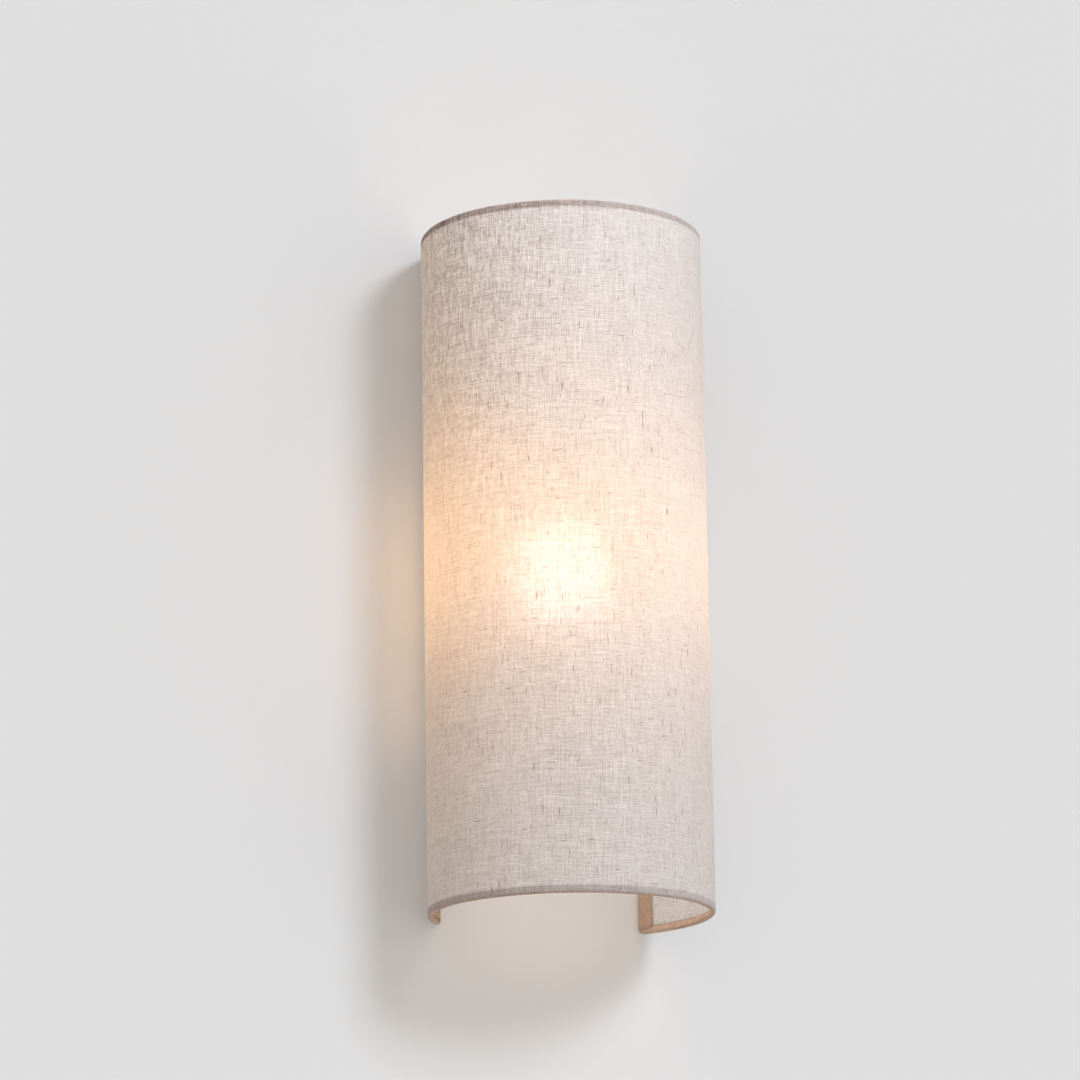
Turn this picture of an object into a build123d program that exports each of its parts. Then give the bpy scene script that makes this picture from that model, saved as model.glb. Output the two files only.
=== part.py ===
from build123d import *
import math
import os

# A wall light with a linen shade. The shade is a tall drum that the wall
# cuts off short, so in plan it is a C of about 260 degrees. It hangs on
# two studs of a flat steel pan, in front of one upright lamp.
# x runs along the wall, the wall is the plane y = 0, the room is on the
# side of -y, and z is up. The origin is the middle of the wall strap's back.

# ---------------------------------------------------------------- shade
shade_diameter = 180.0        # over the fabric
shade_height = 440.0
shade_wrap = 258.0            # degrees of the drum in front of the wall
shade_centre_z = 30.0         # mid-height of the shade above the strap
wall_gap = 0.5                # between the shade's ends and the wall
cloth_thickness = 0.5
film_thickness = 0.35
film_setback = 1.6            # of the film from the shade's folded edges
glue_line = 0.05
turn_in = 5.4                 # cloth folded in over the two rings
end_turn_in = 10.0            # cloth folded in round the two uprights
edge_round = 1.3              # outside of the folded edges
frame_wire = 2.0              # diameter of the rings and uprights
wire_room = 0.15              # round the wire, in the fold
wire_bend = 2.2               # where an upright turns into a ring
wire_run = 1.0                # from that bend to the ring's end
crossbar_thickness = 1.5
crossbar_width = 12.0
crossbar_bend = 3.0           # radius at the middle of the strip
crossbar_side_room = 4.0      # between the pan's side and the strip
crossbar_slope_run = 8.0      # width over which the strip steps forward
stud_slot_travel = 3.0        # of the slot in the lower crossbar

# ------------------------------------------------------------ steel pan
pan_width = 90.0
pan_depth = 14.0
pan_wall = 1.2
pan_corner = 14.0
pan_edge_round = 2.5
stud_spacing = 220.0          # between the two studs that hold the shade
stud_from_end = 10.0          # of the pan
stud_diameter = 4.0
stud_reach = 13.0             # in front of the pan
stud_head_diameter = 7.0
stud_head_thickness = 1.2
seat_clearance = 0.2          # between pieces that are pressed together
turning_clearance = 0.1       # round a stud, in a nut that turns on it

# ----------------------------------------------------------- wall strap
strap_height = 20.0
strap_thickness = 2.0
strap_bend = 2.0
strap_tab_reach = 11.0        # of the turned ends, from the wall
strap_side_clearance = 0.3    # between a turned end and the pan's side
wall_screw_spacing = 60.0
wall_slot_width = 4.5
wall_slot_length = 12.0
side_screw_diameter = 4.0
side_screw_length = 8.0
side_screw_height = 6.0       # its distance from the wall
screw_head_diameter = 7.0
screw_head_height = 2.4
hole_clearance = 0.2

# --------------------------------------------------- lamp arm and nipple
lamp_from_wall = 48.0         # distance of the lamp's axis from the wall
arm_width = 22.0
arm_thickness = 2.0
arm_bend = 3.0
arm_top_z = -28.0             # top of the upright leg
arm_nose = 13.0               # beyond the lamp's axis
arm_nose_round = 8.8
arm_top_round = 4.4
arm_screw_z = (-35.0, -51.0)
arm_screw_diameter = 4.0
arm_screw_length = 8.0
nut_flats = 7.0
nut_thickness = 3.2
nipple_diameter = 10.0
nipple_bore = 7.2
nipple_above = 4.5            # above the arm, in the holder's cap
nipple_below = 9.0
washer_thickness = 0.8
washer_diameter = 17.0
washer_teeth = 12
washer_notch = 1.4            # width of the gap between two teeth
lock_nut_flats = 14.0
lock_nut_thickness = 4.0

# ----------------------------------------------------------- lampholder
holder_diameter = 39.0
holder_wall = 2.2
holder_cap_height = 12.0
holder_cap_flare = 0.35       # rise per width, where the neck turns outwards
holder_neck_diameter = 17.0
holder_neck_height = 3.0
holder_grooves = 3            # turned round the sleeve
holder_groove_pitch = 3.6
holder_groove_depth = 0.4
holder_groove_radius = 0.8
insert_thickness = 7.0
contact_spring_height = 3.0
sleeve_lip = 2.0
holder_over_tip = 24.0        # mouth of the holder above the lamp's tip
shell_thickness = 0.4
shell_clearance = 0.4         # between the lamp's cap and the screw shell
shell_below_mouth = 2.0
contact_thickness = 0.4
contact_width = 6.0
contact_length = 18.0
contact_foot = 3.6
contact_clearance = 0.25

# ----------------------------------------------------------------- lamp
lamp_tip_z = -40.0            # the lamp's centre contact
lamp_diameter = 60.0
lamp_length = 105.0
lamp_cap_diameter = 26.0
lamp_cap_length = 21.0
lamp_insulator_height = 3.5
lamp_contact_height = 1.5
lamp_contact_diameter = 9.5
lamp_neck_gap = 0.4
housing_height = 34.0
housing_wall = 1.8
globe_wall = 1.2
housing_foot_flare = 0.12     # widening per height, at the housing's foot
housing_flare = 0.55          # the same at its top
led_plate_thickness = 1.6
led_plate_room = 0.3

# ------------------------------------------------ terminals and leads
pole_pitch = 10.0
pole_width = 8.6
pole_round = 2.8
block_width = 17.0
block_height = 11.0
block_web = 4.0
block_web_width = 10.2
block_centre_x = 20.0
block_above_leads = 18.2      # its middle above the leads' level
tube_diameter = 4.0
tube_bore = 2.6
tube_height = 6.0             # of the tube's axis above the block's foot
tube_short = 1.0              # of the block's width at each end
pole_screw_diameter = 2.6
pole_screw_spacing = 9.0
pole_screw_slot = 0.5         # width and depth of the slot
block_screw_diameter = 3.0
block_screw_head = 4.8
block_screw_head_height = 1.6
block_screw_out = 1.5         # past the front of the pan
lead_diameter = 2.0
lead_spacing = 2.4
lead_bend = 4.0
lead_rise_bend = 12.0
grommet_room = 5.3            # between the grommet and the lower crossbar
grommet_hole = 10.0
grommet_bore = 6.2
grommet_flange = 13.0
grommet_flange_thickness = 1.2
earth_screw_x = 14.0
ring_terminal_diameter = 8.0
ring_terminal_thickness = 0.8
ring_barrel_length = 7.0
ring_barrel_diameter = 3.2
ring_barrel_end = 1.0         # left solid next to the ring

# ------------------------------------------------------------ nuts
thumb_nut_diameter = 12.0
thumb_nut_head = 5.0
thumb_nut_collar = 8.5
thumb_nut_collar_height = 3.0
thumb_nut_flutes = 18
thumb_nut_flute = 1.0         # width of a flute

# ------------------------------------------------- places worked out
shade_radius = shade_diameter / 2
end_angle = 180 - shade_wrap / 2
shade_axis_y = -wall_gap - shade_radius * math.cos(math.radians(end_angle))
shade_bottom = shade_centre_z - shade_height / 2
shade_top = shade_centre_z + shade_height / 2
film_outer = shade_radius - cloth_thickness - glue_line
film_inner = film_outer - film_thickness
wire_line = film_inner - wire_room - frame_wire / 2
fold_inner = wire_line - frame_wire / 2 - wire_room
cloth_inner = fold_inner - cloth_thickness
wire_inset = cloth_thickness + wire_room + frame_wire / 2
corner_round = wire_inset + wire_bend
upright_y = -wall_gap - wire_inset
wire_tangent = wire_bend + wire_run
ring_end_angle = math.atan2(wire_tangent, wire_line) + math.acos(
    (upright_y - shade_axis_y) / math.hypot(wire_tangent, wire_line)
)
upright_x = wire_line * math.sin(ring_end_angle) - wire_tangent * math.cos(ring_end_angle)
stud_z = stud_spacing / 2
pan_height = stud_spacing + 2 * stud_from_end
crossbar_y = -pan_depth - seat_clearance - crossbar_thickness / 2
pan_inner_y = -pan_depth + pan_wall
lamp_y = -lamp_from_wall
tab_outer_x = pan_width / 2 - pan_wall - strap_side_clearance
holder_mouth_z = lamp_tip_z + holder_over_tip
insert_top_z = lamp_tip_z - contact_clearance - contact_spring_height
insert_bottom_z = insert_top_z - insert_thickness
arm_plate_top = insert_bottom_z - holder_cap_height
arm_plate_bottom = arm_plate_top - arm_thickness
holder_radius = holder_diameter / 2
shell_inner = lamp_cap_diameter / 2 + shell_clearance
tube_y = pan_inner_y + tube_height
lead_level_z = -stud_z + crossbar_width / 2 + grommet_room + grommet_flange / 2
block_centre_z = lead_level_z + block_above_leads
block_screw_x = block_centre_x - pole_pitch / 2


# -------------------------------------------------------------- helpers
def rod_y(diameter, x, z, back, front):
    """A round bar along y, from y = back out into the room to y = front."""
    section = Plane.XZ.offset(-back) * Pos(x, z) * Circle(diameter / 2)
    return extrude(section, amount=back - front)


def rod_x(diameter, y, z, start, end):
    """A round bar along x."""
    section = Plane.YZ.offset(start) * Pos(y, z) * Circle(diameter / 2)
    return extrude(section, amount=end - start)


def rod_z(diameter, x, y, low, high):
    """A round bar along z."""
    return extrude(Pos(x, y, low) * Circle(diameter / 2), amount=high - low)


def nut_y(flats, thickness, bore, x, z, back):
    """A hexagon nut on an axis along y, with its back face at y = back."""
    section = RegularPolygon(flats / 2, 6, major_radius=False) - Circle(bore / 2)
    return extrude(Plane.XZ.offset(-back) * Pos(x, z) * section, amount=thickness)


def spun(outline, x=0.0, y=0.0, z=0.0):
    """The outline, drawn as radius and height, turned about an upright axis."""
    return Pos(x, y, z) * revolve(Plane.XZ * outline, Axis.Z)


def drum_wall(inner, outer, low, high, end_y):
    """A layer of the drum's wall, ended at the plane y = end_y."""
    arcs = []
    for radius in (outer, inner):
        half_mouth = math.degrees(math.acos((end_y - shade_axis_y) / radius))
        arcs.append(CenterArc((0, shade_axis_y), radius, 90 + half_mouth, 360 - 2 * half_mouth))
    ends = [Line(arcs[0] @ end, arcs[1] @ end) for end in (0, 1)]
    return Pos(0, 0, low) * extrude(make_face(arcs + ends), amount=high - low)


def rounded_drum(inner, outer, inset, corner):
    """A layer drawn in by inset all round, its corners at the wall rounded."""
    low = shade_bottom + inset
    high = shade_top - inset
    end_y = -wall_gap - inset
    reach = shade_diameter
    block = Pos(0, end_y - reach / 2, shade_centre_z) * Box(2 * reach, reach, high - low)
    block = fillet(block.edges().filter_by(Axis.X).sort_by(Axis.Y)[-2:], corner)
    return drum_wall(inner, outer, low, high, end_y) & block


# --------------------------------------------------------- shade pieces
def rolled_edges(wall, radius):
    """The layer with the rims of its two faces rounded over."""
    sides = wall.faces().sort_by(SortBy.AREA)[-2:]
    return fillet(sides.edges(), radius)


def shade_fabric():
    """One cloth: the face of the drum, folded in over the wire on all four sides."""
    fold = cloth_thickness
    cloth = rolled_edges(rounded_drum(cloth_inner, shade_radius, 0, corner_round), edge_round)
    hollow = rounded_drum(fold_inner, shade_radius - fold, fold, corner_round - fold)
    cloth -= rolled_edges(hollow, edge_round - fold)
    half_mouth = end_angle + math.degrees(end_turn_in / shade_radius)
    arcs = [
        CenterArc((0, shade_axis_y), radius, 90 + half_mouth, 360 - 2 * half_mouth)
        for radius in (fold_inner + glue_line, cloth_inner - fold)
    ]
    ends = [Line(arcs[0] @ end, arcs[1] @ end) for end in (0, 1)]
    window = Pos(0, 0, shade_bottom + turn_in) * extrude(
        make_face(arcs + ends), amount=shade_height - 2 * turn_in
    )
    cloth -= window
    notch = Box(
        2 * end_turn_in,
        crossbar_thickness + 2 * seat_clearance,
        crossbar_width + 2 * seat_clearance,
    )
    for z in (stud_z, -stud_z):
        for side in (1, -1):
            cloth -= Pos(side * (upright_x - end_turn_in), upright_y, z) * notch
    return cloth


def shade_film():
    """The clear film that the cloth is laminated to, inside the fold."""
    return rounded_drum(film_inner, film_outer, film_setback, corner_round - film_setback)


def ring(z):
    """A ring of wire, open towards the wall, up to the two uprights' ends."""
    end = math.degrees(ring_end_angle)
    hoop = Torus(wire_line, frame_wire / 2, major_angle=360 - 2 * end, align=None)
    return Pos(0, shade_axis_y, z) * Rot(0, 0, 90 + end) * hoop


def upright(side):
    """A wire up one end of the drum, bent at both ends into line with the rings."""
    low = shade_bottom + wire_inset
    high = shade_top - wire_inset
    ring_end_x = side * wire_line * math.sin(ring_end_angle)
    ring_end_y = shade_axis_y + wire_line * math.cos(ring_end_angle)
    path = FilletPolyline(
        (ring_end_x, ring_end_y, low),
        (side * upright_x, upright_y, low),
        (side * upright_x, upright_y, high),
        (ring_end_x, ring_end_y, high),
        radius=wire_bend,
    )
    return sweep(Plane(origin=path @ 0, z_dir=path % 0) * Circle(frame_wire / 2), path=path)


def coped(bar):
    """The bar with its ends hollowed to sit against the two uprights."""
    for side in (1, -1):
        bar -= rod_z(frame_wire, side * upright_x, upright_y, shade_bottom, shade_top)
    return bar


def crossbar(z, slot_travel):
    """A flat strip between the uprights, stepped out to clear the pan."""
    inner_x = pan_width / 2 + crossbar_side_room
    outer_x = inner_x + crossbar_slope_run
    half = [(upright_x, upright_y), (outer_x, upright_y), (inner_x, crossbar_y)]
    points = half + [(-x, y) for x, y in reversed(half)]
    line = FilletPolyline(*points, radius=crossbar_bend)
    strip = extrude(trace(line, crossbar_thickness), amount=crossbar_width)
    strip = Pos(0, 0, z - crossbar_width / 2) * strip
    hole_width = stud_diameter + 2 * hole_clearance
    hole = Circle(hole_width / 2)
    if slot_travel:
        hole = SlotCenterToCenter(slot_travel, hole_width, rotation=90)
    through = crossbar_y + crossbar_thickness
    strip -= extrude(Plane.XZ.offset(-through) * Pos(0, z) * hole, amount=2 * crossbar_thickness)
    return coped(strip)


def thumb_nut(z):
    """A round nut with a fluted head, its collar against the crossbar."""
    back = crossbar_y - crossbar_thickness / 2 - seat_clearance
    head_back = back - thumb_nut_collar_height
    front = head_back - thumb_nut_head
    nut = rod_y(thumb_nut_collar, 0, z, back, head_back)
    head = rod_y(thumb_nut_diameter, 0, z, head_back, front)
    head = chamfer(head.edges().filter_by(GeomType.CIRCLE), thumb_nut_flute / 2)
    places = PolarLocations(thumb_nut_diameter / 2, thumb_nut_flutes)
    flutes = Sketch() + places * Circle(thumb_nut_flute / 2)
    head -= extrude(Plane.XZ.offset(-head_back) * Pos(0, z) * flutes, amount=thumb_nut_head)
    bore = stud_diameter + 2 * turning_clearance
    return nut + head - rod_y(bore, 0, z, back, front)


# ----------------------------------------------------- pan and strap
def pan_block(shrink):
    """The pan's outline, drawn in by shrink on every side but the back."""
    outline = RectangleRounded(
        pan_width - 2 * shrink, pan_height - 2 * shrink, pan_corner - shrink
    )
    block = extrude(Plane.XZ * outline, amount=pan_depth - shrink)
    front = block.faces().sort_by(Axis.Y)[0]
    return fillet(front.edges(), pan_edge_round - shrink)


def back_plate():
    """A shallow steel pan, open towards the wall."""
    pan = pan_block(0) - pan_block(pan_wall)
    front_holes = [(stud_diameter, 0, z) for z in (stud_z, -stud_z)]
    front_holes += [(arm_screw_diameter + 2 * hole_clearance, 0, z) for z in arm_screw_z]
    front_holes += [(block_screw_diameter, block_screw_x, block_centre_z)]
    front_holes += [(grommet_hole, 0, lead_level_z)]
    for diameter, x, z in front_holes:
        pan -= rod_y(diameter, x, z, 0, -2 * pan_depth)
    side_hole = side_screw_diameter + 2 * hole_clearance
    return pan - rod_x(side_hole, -side_screw_height, 0, -pan_width, pan_width)


def wall_strap():
    """A bent steel strap, slotted for two wall screws and tapped for the pan."""
    bar_y = -strap_thickness / 2
    tab_x = tab_outer_x - strap_thickness / 2
    half = [(tab_x, -strap_tab_reach), (tab_x, bar_y)]
    points = half + [(-x, y) for x, y in reversed(half)]
    line = FilletPolyline(*points, radius=strap_bend)
    strap = Pos(0, 0, -strap_height / 2) * extrude(
        trace(line, strap_thickness), amount=strap_height
    )
    slots = SlotOverall(wall_slot_length, wall_slot_width)
    for side in (1, -1):
        place = Plane.XZ.offset(-strap_thickness) * Pos(side * wall_screw_spacing / 2, 0)
        strap -= extrude(place * slots, amount=3 * strap_thickness)
    strap -= rod_y(stud_diameter, earth_screw_x, 0, strap_thickness, -2 * strap_thickness)
    return strap - rod_x(side_screw_diameter, -side_screw_height, 0, -pan_width, pan_width)


def side_screws():
    screws = []
    for side in (1, -1):
        seat = side * pan_width / 2
        head_end = seat + side * screw_head_height
        tip = seat - side * side_screw_length
        head_span = sorted((seat, head_end))
        shank_span = sorted((seat, tip))
        head = rod_x(screw_head_diameter, -side_screw_height, 0, *head_span)
        shank = rod_x(side_screw_diameter, -side_screw_height, 0, *shank_span)
        screws.append(head + shank)
    return Compound(screws)


def shade_studs():
    """Two clinched studs with flat heads inside the pan."""
    studs = []
    for z in (stud_z, -stud_z):
        head = rod_y(stud_head_diameter, 0, z, pan_inner_y + stud_head_thickness, pan_inner_y)
        studs.append(head + rod_y(stud_diameter, 0, z, pan_inner_y, -pan_depth - stud_reach))
    return Compound(studs)


# ------------------------------------------------------------ lamp arm
def lamp_arm():
    """An angle bracket: its upright leg on the pan, the lampholder on its foot."""
    leg_y = -pan_depth - arm_thickness / 2
    plate_z = arm_plate_top - arm_thickness / 2
    nose_y = lamp_y - arm_nose
    line = FilletPolyline((leg_y, arm_top_z), (leg_y, plate_z), (nose_y, plate_z), radius=arm_bend)
    side = Plane.YZ.offset(-arm_width / 2) * trace(line, arm_thickness)
    arm = extrude(side, amount=arm_width)
    corners = arm.edges().filter_by(Axis.Z).group_by(Axis.Y)[0]
    arm = fillet(corners, arm_nose_round)
    top_corners = arm.edges().filter_by(Axis.Y).group_by(Axis.Z)[-1]
    arm = fillet(top_corners, arm_top_round)
    for z in arm_screw_z:
        arm -= rod_y(arm_screw_diameter + 2 * hole_clearance, 0, z, 0, -2 * pan_depth)
    hole = nipple_diameter + 2 * hole_clearance
    return arm - rod_z(hole, 0, lamp_y, arm_plate_bottom, arm_plate_top)


def arm_screws():
    seat = -pan_depth - arm_thickness
    screws = []
    for z in arm_screw_z:
        head = rod_y(screw_head_diameter, 0, z, seat, seat - screw_head_height)
        head = fillet(head.faces().sort_by(Axis.Y)[0].edges(), screw_head_height / 2)
        screws.append(head + rod_y(arm_screw_diameter, 0, z, seat + arm_screw_length, seat))
    return Compound(screws)


def arm_nuts():
    back = pan_inner_y + nut_thickness
    return Compound(
        [nut_y(nut_flats, nut_thickness, arm_screw_diameter, 0, z, back) for z in arm_screw_z]
    )


def nipple():
    """A hollow threaded tube that clamps the holder to the arm."""
    low = arm_plate_bottom - nipple_below
    high = arm_plate_top + nipple_above
    tube = rod_z(nipple_diameter, 0, lamp_y, low, high)
    return tube - rod_z(nipple_bore, 0, lamp_y, low, high)


def lock_washer():
    """A washer with cut teeth round its edge."""
    disc = Circle(washer_diameter / 2) - Circle(nipple_diameter / 2 + hole_clearance)
    places = PolarLocations(washer_diameter / 2, washer_teeth)
    disc -= Sketch() + places * Circle(washer_notch / 2)
    low = arm_plate_bottom - washer_thickness
    return extrude(Pos(0, lamp_y, low) * disc, amount=washer_thickness)


def lock_nut():
    section = RegularPolygon(lock_nut_flats / 2, 6, major_radius=False)
    section -= Circle(nipple_diameter / 2)
    low = arm_plate_bottom - washer_thickness - lock_nut_thickness
    return extrude(Pos(0, lamp_y, low) * section, amount=lock_nut_thickness)


# ---------------------------------------------------------- lampholder
def holder_cap():
    """The domed foot of the lampholder, tapped for the nipple."""
    neck = holder_neck_diameter / 2
    floor = holder_neck_height
    cap = dome(neck, floor, holder_radius, 0)
    cap -= dome(neck - holder_wall, floor + holder_wall, holder_radius - holder_wall, floor)
    cap -= Cylinder(nipple_diameter / 2, 4 * holder_cap_height)
    return Pos(0, lamp_y, arm_plate_top) * cap


def dome(neck, neck_top, rim, foot):
    """A solid bell: straight from its foot to neck_top, then out to its rim."""
    ways = ((1, holder_cap_flare), (0, 1))
    flare = Spline((neck, neck_top), (rim, holder_cap_height), tangents=ways)
    side = Line((neck, foot), (neck, neck_top))
    closing = Polyline((rim, holder_cap_height), (0, holder_cap_height), (0, foot), (neck, foot))
    return spun(make_face(side + flare + closing))


def holder_sleeve():
    """The skirt of the lampholder, with a lip at its mouth."""
    height = holder_mouth_z - insert_bottom_z
    inner = holder_radius - holder_wall
    mouth = shell_inner + shell_thickness + shell_clearance
    sleeve = Cylinder(holder_radius, height, align=(Align.CENTER, Align.CENTER, Align.MIN))
    sleeve = fillet(sleeve.faces().sort_by(Axis.Z)[-1].edges(), holder_wall / 2)
    groove_line = holder_radius - holder_groove_depth + holder_groove_radius
    for step in range(holder_grooves):
        z = height / 2 + holder_groove_pitch * (step - (holder_grooves - 1) / 2)
        sleeve -= Pos(0, 0, z) * Torus(groove_line, holder_groove_radius)
    bore_height = height - sleeve_lip
    sleeve -= Cylinder(inner, bore_height, align=(Align.CENTER, Align.CENTER, Align.MIN))
    sleeve -= Cylinder(mouth, 3 * height)
    return Pos(0, lamp_y, insert_bottom_z) * sleeve


def holder_insert():
    """The ceramic disc that carries the contacts and the screw shell."""
    radius = holder_radius - holder_wall - hole_clearance
    disc = rod_z(2 * radius, 0, lamp_y, insert_bottom_z, insert_top_z)
    groove_width = contact_width + 2 * hole_clearance
    groove_length = contact_length + 2 * hole_clearance
    groove = Box(groove_width, groove_length, 2 * contact_thickness)
    groove = Pos(0, lamp_y, insert_top_z) * groove
    return disc - groove


def screw_shell():
    """The threaded brass shell that the lamp screws into."""
    high = holder_mouth_z - shell_below_mouth
    outer = rod_z(2 * (shell_inner + shell_thickness), 0, lamp_y, insert_top_z, high)
    return outer - rod_z(2 * shell_inner, 0, lamp_y, insert_top_z, high)


def centre_contact():
    """A springy strip, arched up to the lamp's centre contact."""
    half = contact_length / 2
    low = insert_top_z - contact_thickness / 2
    high = lamp_tip_z - contact_clearance - contact_thickness / 2
    rising = [(-half, low), (-half + contact_foot, low), (-contact_foot / 2, high)]
    points = rising + [(-y, z) for y, z in reversed(rising)]
    line = FilletPolyline(*points, radius=3 * contact_thickness)
    strip = Plane.YZ.offset(-contact_width / 2) * trace(line, contact_thickness)
    return Pos(0, lamp_y, 0) * extrude(strip, amount=contact_width)


# ---------------------------------------------------------------- lamp
lamp_radius = lamp_diameter / 2
lamp_centre = lamp_length - lamp_radius            # heights above the tip
cap_low = lamp_contact_height + lamp_insulator_height
cap_high = cap_low + lamp_cap_length
housing_top = cap_high + housing_height
housing_top_radius = math.sqrt(lamp_radius**2 - (lamp_centre - housing_top) ** 2)


def lamp_contact():
    low = lamp_tip_z
    button = rod_z(lamp_contact_diameter, 0, lamp_y, low, low + lamp_contact_height)
    return fillet(button.faces().sort_by(Axis.Z)[0].edges(), lamp_contact_height / 2)


def lamp_insulator():
    """The glass cone between the centre contact and the screw cap."""
    outline = Polyline(
        (0, lamp_contact_height),
        (lamp_contact_diameter / 2 + lamp_contact_height, lamp_contact_height),
        (lamp_cap_diameter / 2 - lamp_contact_height, cap_low),
        (0, cap_low),
        close=True,
    )
    return spun(make_face(outline), 0, lamp_y, lamp_tip_z)


def lamp_cap():
    """The screw cap, plain where the thread would be."""
    cap = rod_z(lamp_cap_diameter, 0, lamp_y, lamp_tip_z + cap_low, lamp_tip_z + cap_high)
    return fillet(cap.faces().sort_by(Axis.Z)[0].edges(), lamp_contact_height)


def housing_outline(shrink):
    """The flared side of the lamp's housing, drawn in by shrink."""
    neck = lamp_cap_diameter / 2 + lamp_neck_gap - shrink
    return Spline(
        (neck, cap_high),
        (housing_top_radius - shrink, housing_top),
        tangents=((housing_foot_flare, 1), (housing_flare, 1)),
    )


def lamp_housing():
    """The white flared housing, hollow and open at its top."""
    side = housing_outline(0)
    solid = make_face(side + Polyline(side @ 1, (0, housing_top), (0, cap_high), side @ 0))
    bore = housing_outline(housing_wall)
    floor = Pos(0, 0, cap_high) * Cylinder(lamp_radius, 2 * housing_wall)
    hollow = make_face(bore + Polyline(bore @ 1, (0, housing_top), (0, cap_high), bore @ 0))
    inside = spun(hollow) - floor
    return Pos(0, lamp_y, lamp_tip_z) * (spun(solid) - inside)


def lamp_globe():
    """The opal dome, a ball cut where it meets the housing."""
    ball = Sphere(lamp_radius) - Sphere(lamp_radius - globe_wall)
    below = Cylinder(lamp_diameter, lamp_diameter, align=(Align.CENTER, Align.CENTER, Align.MAX))
    below = Pos(0, 0, housing_top - lamp_centre) * below
    return Pos(0, lamp_y, lamp_tip_z + lamp_centre) * (ball - below)


def led_plate():
    """The plate with the light sources, set into the housing's top."""
    taper = led_plate_thickness * housing_flare
    radius = housing_top_radius - housing_wall - taper - led_plate_room
    low = lamp_tip_z + housing_top - led_plate_thickness
    return rod_z(2 * radius, 0, lamp_y, low, low + led_plate_thickness)


# ------------------------------------------------- terminals and leads
def pole_x():
    return [block_centre_x + pole_pitch * step for step in (-1, 0, 1)]


def terminal_block():
    """Three nylon poles on one web, each with a tunnel for its brass tube."""
    web = Pos(block_centre_x, pan_inner_y + block_web / 2, block_centre_z) * Box(
        3 * pole_pitch, block_web, block_web_width
    )
    block = web
    for x in pole_x():
        pole = Pos(x, pan_inner_y + block_height / 2, block_centre_z) * Box(
            pole_width, block_height, block_width
        )
        ridge = pole.edges().filter_by(Axis.Z).group_by(Axis.Y)[-1]
        block += fillet(ridge, pole_round)
    low = block_centre_z - block_width
    high = block_centre_z + block_width
    for x in pole_x():
        block -= rod_z(tube_diameter, x, tube_y, low, high)
        for side in (1, -1):
            z = block_centre_z + side * pole_screw_spacing / 2
            block -= rod_y(pole_screw_diameter + 2 * hole_clearance, x, z, 0, tube_y)
    head_hole = block_screw_head + 2 * hole_clearance
    shank_hole = block_screw_diameter + 2 * hole_clearance
    block -= rod_y(head_hole, block_screw_x, block_centre_z, 0, pan_inner_y + block_web)
    return block - rod_y(shank_hole, block_screw_x, block_centre_z, 0, pan_inner_y)


def terminal_tubes():
    """Brass tubes, tapped from the back for their screws."""
    reach = block_width / 2 - tube_short
    tubes = []
    for x in pole_x():
        low = block_centre_z - reach
        high = block_centre_z + reach
        tube = rod_z(tube_diameter, x, tube_y, low, high) - rod_z(tube_bore, x, tube_y, low, high)
        for side in (1, -1):
            z = block_centre_z + side * pole_screw_spacing / 2
            tube -= rod_y(pole_screw_diameter, x, z, 0, tube_y)
        tubes.append(tube)
    return Compound(tubes)


def terminal_screws():
    top = pan_inner_y + block_height - hole_clearance
    foot = tube_y + lead_diameter / 2
    screws = []
    for x in pole_x():
        for side in (1, -1):
            z = block_centre_z + side * pole_screw_spacing / 2
            screw = rod_y(pole_screw_diameter, x, z, top, foot)
            slot = Box(2 * pole_screw_diameter, 2 * pole_screw_slot, pole_screw_slot)
            screws.append(screw - Pos(x, top, z) * slot)
    return Compound(screws)


def block_screw():
    """It holds the block and shows in front of the pan."""
    seat = pan_inner_y + block_web
    top = seat + block_screw_head_height
    tip = -pan_depth - block_screw_out
    head = rod_y(block_screw_head, block_screw_x, block_centre_z, top, seat)
    return head + rod_y(block_screw_diameter, block_screw_x, block_centre_z, seat, tip)


def grommet():
    """A rubber ring in the pan, with a flange on each face."""
    lip = grommet_flange_thickness
    z = lead_level_z
    inner_flange = rod_y(grommet_flange, 0, z, pan_inner_y + lip, pan_inner_y)
    outer_flange = rod_y(grommet_flange, 0, z, -pan_depth, -pan_depth - lip)
    outer_flange = fillet(outer_flange.faces().sort_by(Axis.Y)[0].edges(), lip / 2)
    neck = rod_y(grommet_hole, 0, z, pan_inner_y, -pan_depth)
    return inner_flange + neck + outer_flange - rod_y(grommet_bore, 0, z, 0, -2 * pan_depth)


def lead(points, radii):
    """A round insulated wire along straight runs joined by tangent arcs."""
    path = FilletPolyline(*points, radius=radii)
    start = Vector(*points[0])
    way = Vector(*points[1]) - start
    return sweep(Plane(origin=start, z_dir=way) * Circle(lead_diameter / 2), path=path)


def holder_lead(pole, level_z, rise_y):
    """From a pole down and across, out through the grommet and up the nipple."""
    x = pole_x()[pole]
    start_z = block_centre_z - block_width / 2
    return lead(
        [
            (x, tube_y, start_z),
            (x, tube_y, level_z),
            (0, tube_y, level_z),
            (0, rise_y, level_z),
            (0, rise_y, insert_bottom_z),
        ],
        [lead_bend, lead_bend, lead_rise_bend],
    )


def live_lead():
    half = lead_spacing / 2
    return holder_lead(0, lead_level_z + half, lamp_y + half)


def neutral_lead():
    half = lead_spacing / 2
    return holder_lead(1, lead_level_z - half, lamp_y - half)


ring_face_y = -strap_thickness - ring_terminal_thickness
barrel_y = -strap_thickness - ring_barrel_diameter / 2
barrel_low = -ring_terminal_diameter / 2 - ring_barrel_length


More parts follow.
